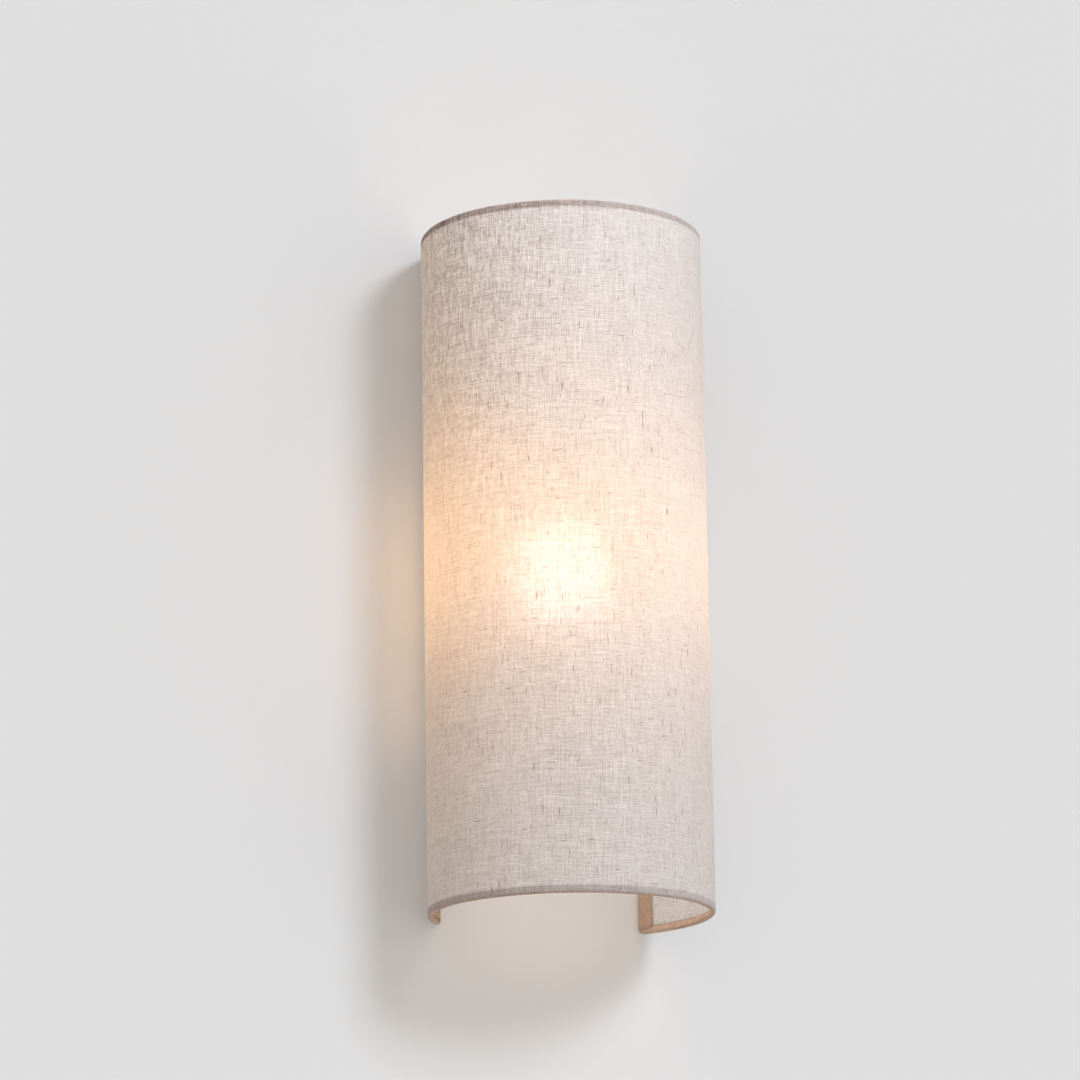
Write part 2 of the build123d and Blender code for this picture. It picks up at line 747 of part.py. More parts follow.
def earth_terminal():
    """A crimped ring on the strap's earth screw."""
    eye = rod_y(ring_terminal_diameter, earth_screw_x, 0, -strap_thickness, ring_face_y)
    eye -= rod_y(stud_diameter + 2 * hole_clearance, earth_screw_x, 0, 0, 2 * ring_face_y)
    neck_top = -screw_head_diameter / 2 - hole_clearance
    bore_top = neck_top - ring_barrel_end
    barrel = rod_z(ring_barrel_diameter, earth_screw_x, barrel_y, barrel_low, neck_top)
    return eye + barrel - rod_z(lead_diameter, earth_screw_x, barrel_y, barrel_low, bore_top)


def earth_screw():
    seat = ring_face_y
    head = rod_y(screw_head_diameter, earth_screw_x, 0, seat, seat - screw_head_height)
    head = fillet(head.faces().sort_by(Axis.Y)[0].edges(), screw_head_height / 2)
    return head + rod_y(stud_diameter, earth_screw_x, 0, -strap_thickness / 4, seat)


def earth_lead():
    """From the ring's barrel down to the third pole."""
    x = pole_x()[2]
    top_z = block_centre_z + block_width / 2
    drop = (barrel_low - top_z) / 3
    return lead(
        [
            (earth_screw_x, barrel_y, barrel_low),
            (earth_screw_x, barrel_y, barrel_low - drop),
            (x, tube_y, top_z + drop),
            (x, tube_y, top_z),
        ],
        [2 * lead_bend, 2 * lead_bend],
    )


# --------------------------------------------------------------- pieces
pieces = {
    "shade_fabric": shade_fabric(),
    "shade_film": shade_film(),
    "top_ring": ring(shade_top - wire_inset),
    "bottom_ring": ring(shade_bottom + wire_inset),
    "left_upright": upright(-1),
    "right_upright": upright(1),
    "upper_crossbar": crossbar(stud_z, 0),
    "lower_crossbar": crossbar(-stud_z, stud_slot_travel),
    "upper_thumb_nut": thumb_nut(stud_z),
    "lower_thumb_nut": thumb_nut(-stud_z),
    "back_plate": back_plate(),
    "wall_strap": wall_strap(),
    "side_screws": side_screws(),
    "shade_studs": shade_studs(),
    "lamp_arm": lamp_arm(),
    "arm_screws": arm_screws(),
    "arm_nuts": arm_nuts(),
    "nipple": nipple(),
    "lock_washer": lock_washer(),
    "lock_nut": lock_nut(),
    "holder_cap": holder_cap(),
    "holder_sleeve": holder_sleeve(),
    "holder_insert": holder_insert(),
    "screw_shell": screw_shell(),
    "centre_contact": centre_contact(),
    "lamp_contact": lamp_contact(),
    "lamp_insulator": lamp_insulator(),
    "lamp_cap": lamp_cap(),
    "lamp_housing": lamp_housing(),
    "led_plate": led_plate(),
    "lamp_globe": lamp_globe(),
    "terminal_block": terminal_block(),
    "terminal_tubes": terminal_tubes(),
    "terminal_screws": terminal_screws(),
    "block_screw": block_screw(),
    "grommet": grommet(),
    "live_lead": live_lead(),
    "neutral_lead": neutral_lead(),
    "earth_terminal": earth_terminal(),
    "earth_screw": earth_screw(),
    "earth_lead": earth_lead(),
}

os.makedirs("parts", exist_ok=True)
for name, shape in pieces.items():
    export_step(shape, f"parts/{name}.step")
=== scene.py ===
import math

import bmesh
import bpy
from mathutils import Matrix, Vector


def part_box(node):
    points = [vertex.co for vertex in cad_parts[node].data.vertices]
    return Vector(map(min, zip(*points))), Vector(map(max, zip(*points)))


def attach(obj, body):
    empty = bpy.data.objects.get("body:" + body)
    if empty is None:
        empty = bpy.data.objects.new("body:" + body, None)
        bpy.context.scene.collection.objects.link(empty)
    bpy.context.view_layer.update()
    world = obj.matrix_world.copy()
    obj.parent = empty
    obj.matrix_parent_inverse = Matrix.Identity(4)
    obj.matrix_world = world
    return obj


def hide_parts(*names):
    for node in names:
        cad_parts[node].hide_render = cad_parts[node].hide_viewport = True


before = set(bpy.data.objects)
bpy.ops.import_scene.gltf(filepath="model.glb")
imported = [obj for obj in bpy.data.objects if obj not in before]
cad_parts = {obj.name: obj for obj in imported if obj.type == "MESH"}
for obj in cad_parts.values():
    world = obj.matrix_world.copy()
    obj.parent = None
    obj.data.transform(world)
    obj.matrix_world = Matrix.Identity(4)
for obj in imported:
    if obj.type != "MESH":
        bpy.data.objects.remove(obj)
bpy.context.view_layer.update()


# --- The place it is seen from: below its middle and to its left, from over
# three metres away, with a long lens. The eye stands where the middle of the
# light falls on its own pixel of the square picture.
view_yaw = math.radians(21.09)
view_pitch = math.radians(13.64)
view_roll = math.radians(-0.90)
view_distance = 3.2554
photo_side = 1080
focal_pixels = 5053.5
sensor_width = 36.0           # millimetres
middle = Vector((0.0, 0.0, 0.030))
middle_pixel = (533.91, 592.57)


def placed(name, data):
    """A new object in the scene, at the origin."""
    thing = bpy.data.objects.new(name, data)
    bpy.context.scene.collection.objects.link(thing)
    return thing


ahead = Vector((
    math.sin(view_yaw) * math.cos(view_pitch),
    math.cos(view_yaw) * math.cos(view_pitch),
    math.sin(view_pitch),
))
level = Vector((math.cos(view_yaw), -math.sin(view_yaw), 0.0))
upward = level.cross(ahead)
across = level * math.cos(view_roll) + upward * math.sin(view_roll)
upright = upward * math.cos(view_roll) - level * math.sin(view_roll)
step_right = (middle_pixel[0] - photo_side / 2) / focal_pixels
step_down = (middle_pixel[1] - photo_side / 2) / focal_pixels
eye = middle - (ahead + across * step_right - upright * step_down) * view_distance

camera_data = bpy.data.cameras.new("view")
camera_data.sensor_width = sensor_width
camera_data.lens = sensor_width * focal_pixels / photo_side
camera = placed("view", camera_data)
for column, way in enumerate((across, upright, -ahead, eye)):
    for row in range(3):
        camera.matrix_world[row][column] = way[row]
bpy.context.scene.camera = camera
bpy.context.scene.view_settings.view_transform = "Standard"


# --- The wall that the light hangs on: plaster under matt, pale grey paint.
# It throws no light back on the light, and it is clear from behind, so that
# the back can be seen.
wall_side = 7.0
wall_gap = 0.0002             # behind the strap
wall_shade = (0.70, 0.70, 0.70)
wall_roughness = 1.0


def sockets(material):
    """The material's node tree, with its own shader and output."""
    tree = material.node_tree
    return tree, tree.nodes["Principled BSDF"], tree.nodes["Material Output"]


def new_material(name, colour, roughness=0.5, metallic=0.0):
    """A plain material, which the nodes that follow may add to."""
    material = bpy.data.materials.new(name)
    material.use_nodes = True
    shader = sockets(material)[1]
    shader.inputs["Base Color"].default_value = (*colour, 1.0)
    shader.inputs["Roughness"].default_value = roughness
    shader.inputs["Metallic"].default_value = metallic
    return material


def add(tree, kind, inputs=None, **settings):
    """A new node with those settings, and those values on its inputs."""
    node = tree.nodes.new(kind)
    for name, value in settings.items():
        setattr(node, name, value)
    for socket, value in (inputs or {}).items():
        node.inputs[socket].default_value = value
    return node


def join(tree, *runs):
    """Link nodes: each run goes from a node's output to a node's input."""
    for source, output, target, socket in runs:
        tree.links.new(source.outputs[output], target.inputs[socket])


wall_paint = new_material("wall_paint", wall_shade, wall_roughness)
tree, shader, output = sockets(wall_paint)
shader.inputs["Specular IOR Level"].default_value = 0.0
seen_from = add(tree, "ShaderNodeNewGeometry")
clear = add(tree, "ShaderNodeBsdfTransparent")
either = add(tree, "ShaderNodeMixShader")
join(
    tree,
    (seen_from, "Backfacing", either, "Fac"),
    (shader, "BSDF", either, 1),
    (clear, "BSDF", either, 2),
    (either, "Shader", output, "Surface"),
)

wall_mesh = bpy.data.meshes.new("wall")
half = wall_side / 2
wall_corners = [(-half, 0, -half), (half, 0, -half), (half, 0, half), (-half, 0, half)]
wall_mesh.from_pydata(wall_corners, [], [(0, 1, 2, 3)])
wall_mesh.materials.append(wall_paint)
wall = placed("wall", wall_mesh)
wall.location.y = wall_gap
wall.visible_diffuse = False
wall.visible_glossy = False
wall.visible_shadow = False
wall.visible_transmission = False


# --- The light in the room: a soft lamp high on the right, and a near one that
# leaves out the wall. Two small ones for the wall alone stand for what comes
# through the shade's left side and out of its open foot.
key_way = Vector((-0.39, 1.0, -0.57))
key_strength = 1.22
key_colour = (0.915, 1.03, 1.165)
key_softness = math.radians(17.0)
near_place = Vector((0.02, -0.55, 0.85))
near_target = Vector((0.0, -0.1, 0.03))
near_power = 5.4
near_colour = (0.89, 0.98, 1.08)
near_size = 0.4


def new_light(name, kind, way, power, colour, place=(0.0, 0.0, 0.0)):
    """A light at that place, which shines that way."""
    light = placed(name, bpy.data.lights.new(name, kind))
    light.data.energy = power
    light.data.color = colour
    light.location = place
    light.rotation_mode = "QUATERNION"
    light.rotation_quaternion = way.to_track_quat("-Z", "Y")
    return light


def leak_light(name, place, way, sides, power, colour):
    """A soft light for the wall alone, which isn't seen itself."""
    leak = new_light(name, "AREA", Vector(way), power, colour, place)
    leak.data.shape = "RECTANGLE"
    leak.data.size, leak.data.size_y = sides
    leak.light_linking.receiver_collection = on_wall
    leak.visible_camera = False
    leak.visible_glossy = False
    leak.visible_transmission = False


key = new_light("key", "SUN", key_way, key_strength, key_colour)
key.data.angle = key_softness

off_wall = bpy.data.collections.new("off_wall")
off_wall.objects.link(wall)
off_wall.collection_objects[0].light_linking.link_state = "EXCLUDE"
near = new_light(
    "near", "AREA", near_target - near_place, near_power, near_colour, near_place
)
near.data.size = near_size
near.light_linking.receiver_collection = off_wall

on_wall = bpy.data.collections.new("on_wall")
on_wall.objects.link(wall)
leak_light(
    "side_leak", place=(-0.088, -0.026, 0.004), way=(0, 1, 0), sides=(0.02, 0.17),
    power=0.0085, colour=(1.0, 0.64, 0.34),
)
leak_light(
    "foot_leak", place=(0.0, -0.045, -0.175), way=(0, 1, -0.5), sides=(0.08, 0.02),
    power=0.0042, colour=(1.0, 0.90, 0.82),
)


# --- The rest of the room: an even pale light from all round. Where nothing
# stands in the way, the eye, a reflection and what comes through meet a pale
# grey.
room_light = (0.775, 0.735, 0.696, 1.0)
pale_shade = (0.745, 0.745, 0.745, 1.0)

room = bpy.data.worlds.new("room")
room.use_nodes = True
bpy.context.scene.world = room
tree = room.node_tree
background = tree.nodes["Background"]
ray = add(tree, "ShaderNodeLightPath")
seen = add(tree, "ShaderNodeMath", operation="MAXIMUM")
seen_or_clear = add(tree, "ShaderNodeMath", operation="MAXIMUM")
pale = add(
    tree, "ShaderNodeMix", {"A": room_light, "B": pale_shade}, data_type="RGBA"
)
join(
    tree,
    (ray, "Is Camera Ray", seen, 0),
    (ray, "Is Glossy Ray", seen, 1),
    (seen, 0, seen_or_clear, 0),
    (ray, "Is Transmission Ray", seen_or_clear, 1),
    (seen_or_clear, 0, pale, "Factor"),
    (pale, "Result", background, "Color"),
)


# --- The wall strap, and the screws, studs and nuts that hold the rest on it:
# pressed or turned steel with bright zinc plate, which is dull and a little
# cloudy.
grain_detail = 3.0
mottle_detail = 4.0
mottle_roughness = 0.65
mottle_from, mottle_to = 0.35, 0.75


def new_group(name, kind, inputs, outputs):
    """A node group with those sockets, and the nodes for its two ends."""
    group = bpy.data.node_groups.new(name, kind)
    for way, table in (("INPUT", inputs), ("OUTPUT", outputs)):
        for socket, form in table:
            group.interface.new_socket(
                socket, in_out=way, socket_type="NodeSocket" + form
            )
    given = group.nodes.new("NodeGroupInput")
    result = group.nodes.new("NodeGroupOutput")
    return group, given, result


def grain_group():
    """A shader group: grain and mottling over a plain colour, with its bump."""
    group, given, result = new_group(
        "grain", "ShaderNodeTree",
        inputs=(
            ("Vector", "Vector"), ("Color", "Color"), ("Worn Color", "Color"),
            ("Grain Scale", "Float"), ("Mottle Scale", "Float"), ("Mottle", "Float"),
            ("Low Roughness", "Float"), ("High Roughness", "Float"),
            ("Grain Height", "Float"),
        ),
        outputs=(("Color", "Color"), ("Roughness", "Float"), ("Height", "Float")),
    )
    grain = add(group, "ShaderNodeTexNoise", {"Detail": grain_detail})
    mottle = add(
        group, "ShaderNodeTexNoise",
        {"Detail": mottle_detail, "Roughness": mottle_roughness},
    )
    spread = add(
        group, "ShaderNodeMapRange", {"From Min": mottle_from, "From Max": mottle_to}
    )
    share = add(group, "ShaderNodeMath", operation="MULTIPLY")
    tint = add(group, "ShaderNodeMix", data_type="RGBA")
    rough = add(group, "ShaderNodeMapRange")
    height = add(group, "ShaderNodeMath", operation="MULTIPLY")
    join(
        group,
        (given, "Vector", grain, "Vector"),
        (given, "Vector", mottle, "Vector"),
        (given, "Grain Scale", grain, "Scale"),
        (given, "Mottle Scale", mottle, "Scale"),
        (mottle, "Fac", spread, "Value"),
        (spread, "Result", share, 0),
        (given, "Mottle", share, 1),
        (share, 0, tint, "Factor"),
        (given, "Color", tint, "A"),
        (given, "Worn Color", tint, "B"),
        (grain, "Fac", rough, "Value"),
        (given, "Low Roughness", rough, "To Min"),
        (given, "High Roughness", rough, "To Max"),
        (grain, "Fac", height, 0),
        (given, "Grain Height", height, 1),
        (tint, "Result", result, "Color"),
        (rough, "Result", result, "Roughness"),
        (height, 0, result, "Height"),
    )
    return group


grain = grain_group()


def grained(
    name, colour, worn, grain_scale, mottle_scale, mottle, roughness, grain_height,
    metallic=0.0, stretch=(1, 1, 1),
):
    """A material of that colour with the grain group's detail on it."""
    material = new_material(name, colour, metallic=metallic)
    tree, shader, _ = sockets(material)
    place = add(tree, "ShaderNodeTexCoord")
    turn = add(tree, "ShaderNodeMapping", {"Scale": stretch})
    detail = add(tree, "ShaderNodeGroup", node_tree=grain)
    for socket, value in (
        ("Color", (*colour, 1.0)), ("Worn Color", (*worn, 1.0)),
        ("Grain Scale", grain_scale), ("Mottle Scale", mottle_scale),
        ("Mottle", mottle), ("Low Roughness", roughness[0]),
        ("High Roughness", roughness[1]), ("Grain Height", grain_height),
    ):
        detail.inputs[socket].default_value = value
    bump = add(tree, "ShaderNodeBump", {"Distance": 1.0})
    join(
        tree,
        (place, "Object", turn, "Vector"),
        (turn, "Vector", detail, "Vector"),
        (detail, "Color", shader, "Base Color"),
        (detail, "Roughness", shader, "Roughness"),
        (detail, "Height", bump, "Height"),
        (bump, "Normal", shader, "Normal"),
    )
    return material


def dress(material, *names):
    """These pieces of the frame take that material."""
    for name in names:
        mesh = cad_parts[name].data
        mesh.materials.clear()
        mesh.materials.append(material)


zinc_steel = grained(
    "zinc_steel", (0.66, 0.67, 0.68), worn=(0.48, 0.50, 0.53), metallic=1.0,
    grain_scale=1400.0, mottle_scale=260.0, mottle=0.55,
    roughness=(0.24, 0.46), grain_height=0.000012,
)
dress(
    zinc_steel, "wall_strap", "side_screws", "shade_studs", "arm_screws",
    "arm_nuts", "nipple", "lock_washer", "lock_nut", "block_screw", "earth_screw",
    "terminal_screws",
)


# --- The threads of the two studs: ridges rolled into the zinc-plated steel
# and left bright. The thumb nuts run on them, in front of the pan.
stud_pitch = 0.0007
ridge_size = 0.00016
ridge_outer = 0.00207
ridge_steps = 24              # to a turn
ridge_corners = 4
stud_start = -0.0141
stud_plain_tip = 0.0004
stud_low, stud_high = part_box("shade_studs")
thread_length = stud_start - stud_low[1] - stud_plain_tip
stud_level = stud_high[2] - (stud_high[0] - stud_low[0]) / 2


def ridge_group():
    """A geometry group: a coiled ridge that starts at each point given."""
    group, given, result = new_group(
        "screw_ridge", "GeometryNodeTree",
        inputs=(
            ("Geometry", "Geometry"), ("Turns", "Float"), ("Radius", "Float"),
            ("Length", "Float"), ("Ridge", "Float"), ("Finish", "Material"),
        ),
        outputs=(("Geometry", "Geometry"),),
    )
    coil = add(group, "GeometryNodeCurveSpiral", {"Resolution": ridge_steps})
    section = add(
        group, "GeometryNodeCurvePrimitiveCircle", {"Resolution": ridge_corners}
    )
    sweep = add(group, "GeometryNodeCurveToMesh", {"Fill Caps": True})
    copies = add(
        group, "GeometryNodeInstanceOnPoints", {"Rotation": (math.pi / 2, 0.0, 0.0)}
    )
    real = add(group, "GeometryNodeRealizeInstances")
    finish = add(group, "GeometryNodeSetMaterial")
    join(
        group,
        (given, "Turns", coil, "Rotations"),
        (given, "Radius", coil, "Start Radius"),
        (given, "Radius", coil, "End Radius"),
        (given, "Length", coil, "Height"),
        (given, "Ridge", section, "Radius"),
        (coil, "Curve", sweep, "Curve"),
        (section, "Curve", sweep, "Profile Curve"),
        (given, "Geometry", copies, "Points"),
        (sweep, "Mesh", copies, "Instance"),
        (copies, "Instances", real, "Geometry"),
        (real, "Geometry", finish, "Geometry"),
        (given, "Finish", finish, "Material"),
        (finish, "Geometry", result, "Geometry"),
    )
    return group


def grown(name, points, group, values):
    """The finished mesh that a geometry group makes from some points."""
    seeds = bpy.data.meshes.new(name + "_points")
    seeds.from_pydata(points, [], [])
    thing = placed(name, seeds)
    growth = thing.modifiers.new("growth", "NODES")
    growth.node_group = group
    for socket in group.interface.items_tree:
        if socket.in_out == "INPUT" and socket.name in values:
            growth[socket.identifier] = values[socket.name]
    settled = thing.evaluated_get(bpy.context.evaluated_depsgraph_get())
    thing.data = bpy.data.meshes.new_from_object(settled)
    thing.modifiers.clear()
    return thing


stud_starts = [(0, stud_start, stud_level), (0, stud_start, -stud_level)]
stud_threads = grown("stud_threads", stud_starts, ridge_group(), {
    "Turns": thread_length / stud_pitch, "Radius": ridge_outer - ridge_size,
    "Length": thread_length, "Ridge": ridge_size, "Finish": zinc_steel,
})
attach(stud_threads, "fixture")


# --- The back pan and the lamp arm: folded sheet steel under white powder
# coat, which dries with a fine pebbled skin. The pan is screwed to the strap,
# and the arm to the pan.
powder_coat = grained(
    "powder_coat", (0.82, 0.82, 0.81), worn=(0.76, 0.755, 0.74),
    grain_scale=1900.0, mottle_scale=35.0, mottle=0.35,
    roughness=(0.38, 0.56), grain_height=0.00009,
)
dress(powder_coat, "back_plate", "lamp_arm")


# --- The terminals: brass tubes in a moulded nylon block that is screwed to
# the pan, a tinned copper ring under the earth screw, and a soft rubber ring
# pressed into the pan's lead hole.
brass = grained(
    "brass", (0.76, 0.58, 0.30), worn=(0.50, 0.34, 0.15), metallic=1.0,
    grain_scale=1500.0, mottle_scale=180.0, mottle=0.5,
    roughness=(0.22, 0.42), grain_height=0.00001,
)
nylon = grained(
    "nylon", (0.80, 0.79, 0.75), worn=(0.74, 0.72, 0.66),
    grain_scale=1600.0, mottle_scale=90.0, mottle=0.3,
    roughness=(0.36, 0.52), grain_height=0.00003,
)
tin_plate = grained(
    "tin_plate", (0.74, 0.73, 0.71), worn=(0.55, 0.54, 0.53), metallic=1.0,
    grain_scale=1800.0, mottle_scale=300.0, mottle=0.4,
    roughness=(0.28, 0.5), grain_height=0.00001,
)
rubber = grained(
    "rubber", (0.035, 0.035, 0.036), worn=(0.06, 0.06, 0.06),
    grain_scale=1500.0, mottle_scale=150.0, mottle=0.5,
    roughness=(0.55, 0.75), grain_height=0.00003,
)
dress(brass, "terminal_tubes")
dress(nylon, "terminal_block")
dress(tin_plate, "earth_terminal")
dress(rubber, "grommet")


# --- The leads: copper strands in heat-proof silicone, brown for live, blue
# for neutral, green with a yellow stripe for earth. They run from the block
# to the lampholder and to the earth screw.
brown_silicone = grained(
    "brown_silicone", (0.16, 0.065, 0.03), worn=(0.20, 0.09, 0.05),
    grain_scale=1200.0, mottle_scale=120.0, mottle=0.5,
    roughness=(0.35, 0.5), grain_height=0.00002,
)
blue_silicone = grained(
    "blue_silicone", (0.03, 0.12, 0.42), worn=(0.05, 0.16, 0.48),
    grain_scale=1200.0, mottle_scale=120.0, mottle=0.5,
    roughness=(0.35, 0.5), grain_height=0.00002,
)
earth_silicone = grained(
    "earth_silicone", (0.12, 0.36, 0.05), worn=(0.72, 0.62, 0.04),
    grain_scale=3.0, mottle_scale=1.2, mottle=1.0,
    roughness=(0.35, 0.5), grain_height=0.000005, stretch=(400, 1, 1),
)
dress(brown_silicone, "live_lead")
dress(blue_silicone, "neutral_lead")
dress(earth_silicone, "earth_lead")


# --- The lampholder: a ribbed skirt and a domed cap of moulded plastic, clamped
# to the arm by the hollow nipple. Inside is a disc of fired clay that carries
# the sprung brass contact.
holder_plastic = grained(
    "holder_plastic", (0.78, 0.775, 0.75), worn=(0.72, 0.71, 0.68),
    grain_scale=2200.0, mottle_scale=50.0, mottle=0.3,
    roughness=(0.42, 0.58), grain_height=0.00004,
)
fired_clay = grained(
    "fired_clay", (0.76, 0.73, 0.68), worn=(0.62, 0.58, 0.52),
    grain_scale=1300.0, mottle_scale=200.0, mottle=0.4,
    roughness=(0.6, 0.85), grain_height=0.00008,
)
dress(holder_plastic, "holder_cap", "holder_sleeve")
dress(fired_clay, "holder_insert")
dress(brass, "centre_contact")


# --- The screw shell in the lampholder: thin brass sheet, rolled to a round
# thread of seven turns to the inch, which the lamp's cap runs in. It stands on
# the clay disc.
sheet_pitch = 0.0254 / 7
sheet_around = 72             # places round the skin
sheet_step = sheet_pitch / 8
thread_fade = 0.0012          # the plain length where a thread dies out
shell_inner_middle = 0.01362
shell_wave = 0.00024
shell_sheet = 0.0003
shell_low, shell_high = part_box("screw_shell")
cap_low, cap_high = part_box("lamp_cap")
lamp_axis_y = (cap_low[1] + cap_high[1]) / 2


def eased(part):
    """0 to 1 with a soft start and a soft end."""
    return part * part * (3 - 2 * part)


def faded(z, low, high):
    """1 between low and high, falling to 0 at both ends."""
    return eased(max(0.0, min((z - low) / thread_fade, (high - z) / thread_fade, 1.0)))


def wave(z, turn):
    """The rolled thread, from -1 to 1, at that height and turn."""
    return math.cos(2 * math.pi * z / sheet_pitch - turn)


def levels(low, high):
    """Even heights from low to high, close enough to show the thread."""
    count = math.ceil((high - low) / sheet_step)
    return [low + (high - low) * k / count for k in range(count + 1)]


def turned_skin(rings):
    """A skin round the lamp's axis through rings of (height, radius by turn)."""
    skin = bmesh.new()
    rows = []
    for z, radius in rings:
        row = []
        for k in range(sheet_around):
            turn = 2 * math.pi * k / sheet_around
            out = radius(turn)
            row.append(skin.verts.new(
                (out * math.cos(turn), lamp_axis_y + out * math.sin(turn), z)
            ))
        rows.append(row)
    for below, above in zip(rows, rows[1:]):
        for k in range(sheet_around):
            after = (k + 1) % sheet_around
            corners = (below[k], below[after], above[after], above[k])
            skin.faces.new(corners).smooth = True
    return skin, rows


def finished(name, skin, material):
    """The object that a skin becomes, in its material."""
    mesh = bpy.data.meshes.new(name)
    skin.to_mesh(mesh)
    skin.free()
    mesh.materials.append(material)
    return placed(name, mesh)


def shell_radius(z, turn, past):
    """How far out the sheet is, past its inner face by that much."""
    held = faded(z, shell_low[2], shell_high[2])
    return shell_inner_middle + past + shell_wave * wave(z, turn) * held


shell_levels = levels(shell_low[2], shell_high[2])
skin, rows = turned_skin([
    (z, lambda turn, z=z: shell_radius(z, turn, shell_sheet)) for z in shell_levels
] + [
    (z, lambda turn, z=z: shell_radius(z, turn, 0.0)) for z in reversed(shell_levels)
])
for k in range(sheet_around):
    after = (k + 1) % sheet_around
    skin.faces.new((rows[-1][k], rows[-1][after], rows[0][after], rows[0][k]))
rolled_shell = finished("rolled_shell", skin, brass)
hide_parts("screw_shell")
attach(rolled_shell, "fixture")


# --- The lamp: a satin plastic housing with an opal dome snapped on it, which
# glows with its neck, and a lacquered board with the light sources inside. At
# its foot is a ring of black glass round a brass contact.
lamp_strength = 38.0
lamp_glow = (1.0, 0.92, 0.87, 1.0)
neck_glow_low = -0.013        # heights between which the neck starts to glow
neck_glow_high = 0.014

opal = grained(
    "opal", (0.90, 0.89, 0.86), worn=(0.86, 0.85, 0.81),
    grain_scale=1800.0, mottle_scale=40.0, mottle=0.3,
    roughness=(0.32, 0.44), grain_height=0.00002,
)
shader = sockets(opal)[1]
shader.inputs["Emission Color"].default_value = lamp_glow
shader.inputs["Emission Strength"].default_value = lamp_strength
dress(opal, "lamp_globe")
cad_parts["lamp_globe"].light_linking.receiver_collection = off_wall

lamp_plastic = grained(
    "lamp_plastic", (0.84, 0.84, 0.82), worn=(0.79, 0.78, 0.75),
    grain_scale=2600.0, mottle_scale=40.0, mottle=0.25,
    roughness=(0.30, 0.42), grain_height=0.00002,
)
tree, shader, _ = sockets(lamp_plastic)
shader.inputs["Emission Color"].default_value = lamp_glow
place = add(tree, "ShaderNodeTexCoord")
apart = add(tree, "ShaderNodeSeparateXYZ")
lit_part = add(tree, "ShaderNodeMapRange", {
    "From Min": neck_glow_low, "From Max": neck_glow_high, "To Max": lamp_strength,
}, interpolation_type="SMOOTHSTEP")
join(
    tree,
    (place, "Object", apart, 0),
    (apart, "Z", lit_part, "Value"),
    (lit_part, "Result", shader, "Emission Strength"),
)
dress(lamp_plastic, "lamp_housing")

board_lacquer = grained(
    "board_lacquer", (0.82, 0.82, 0.79), worn=(0.74, 0.74, 0.70),
    grain_scale=1500.0, mottle_scale=120.0, mottle=0.3,
    roughness=(0.3, 0.45), grain_height=0.00002,
)
black_glass = grained(
    "black_glass", (0.012, 0.012, 0.016), worn=(0.02, 0.02, 0.025),
    grain_scale=900.0, mottle_scale=120.0, mottle=0.4,
    roughness=(0.08, 0.16), grain_height=0.00001,
)
dress(board_lacquer, "led_plate")
dress(black_glass, "lamp_insulator")
dress(brass, "lamp_contact")


# --- The lamp's screw cap: thin sheet with satin nickel plate, rolled to the
# same round thread as the shell and crimped to the housing. It keeps clear of
# the shell all round.
cap_middle = 0.01278
cap_wave = 0.00040
cap_foot = 0.0115             # the radius that its foot rounds in to
cap_foot_round = 0.0015
cap_plain = 0.0022            # the plain collar under the housing

nickel = grained(
    "nickel", (0.70, 0.67, 0.62), worn=(0.58, 0.55, 0.50), metallic=1.0,
    grain_scale=2000.0, mottle_scale=160.0, mottle=0.4,
    roughness=(0.20, 0.34), grain_height=0.000008,
)


def cap_radius(z, turn):
    """How far out the cap's sheet is, with its foot rounded in."""
    height = z - cap_low[2]
    radius = cap_middle + cap_wave * wave(z, turn) * faded(
        z, cap_low[2] + cap_foot_round / 2, cap_high[2] - cap_plain
    )
    if height < cap_foot_round:
        rise = 1 - height / cap_foot_round
        radius = cap_foot + (radius - cap_foot) * math.sqrt(1 - rise * rise)
    return radius


skin, rows = turned_skin([
    (z, lambda turn, z=z: cap_radius(z, turn)) for z in levels(cap_low[2], cap_high[2])
])
skin.faces.new(reversed(rows[0]))
skin.faces.new(rows[-1])
rolled_cap = finished("rolled_cap", skin, nickel)
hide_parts("lamp_cap")
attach(rolled_cap, "lamp")


# --- The shade's frame: two wire rings, two upright wires and two flat
# crossbars, welded steel under a thin coat of white. The crossbars hang on
# the studs.
frame_coat = grained(
    "frame_coat", (0.82, 0.815, 0.80), worn=(0.70, 0.69, 0.66),
    grain_scale=1700.0, mottle_scale=120.0, mottle=0.4,
    roughness=(0.34, 0.52), grain_height=0.00004,
)
dress(
    frame_coat, "top_ring", "bottom_ring", "left_upright", "right_upright",
    "upper_crossbar", "lower_crossbar",
)


# --- The two thumb nuts: turned metal with the same satin nickel plate, run
# up the studs by hand to hold the crossbars on.
dress(nickel, "upper_thumb_nut", "lower_thumb_nut")


# --- The film that stiffens the cloth: clear and thin, bonded to its back all
# over, with a faint orange-peel shine.
film_solidness = 0.08
film = grained(
    "film", (0.86, 0.85, 0.82), worn=(0.82, 0.80, 0.76),
    grain_scale=400.0, mottle_scale=30.0, mottle=0.4,
    roughness=(0.26, 0.40), grain_height=0.00003,
)
sockets(film)[1].inputs["Alpha"].default_value = film_solidness
dress(film, "shade_film")


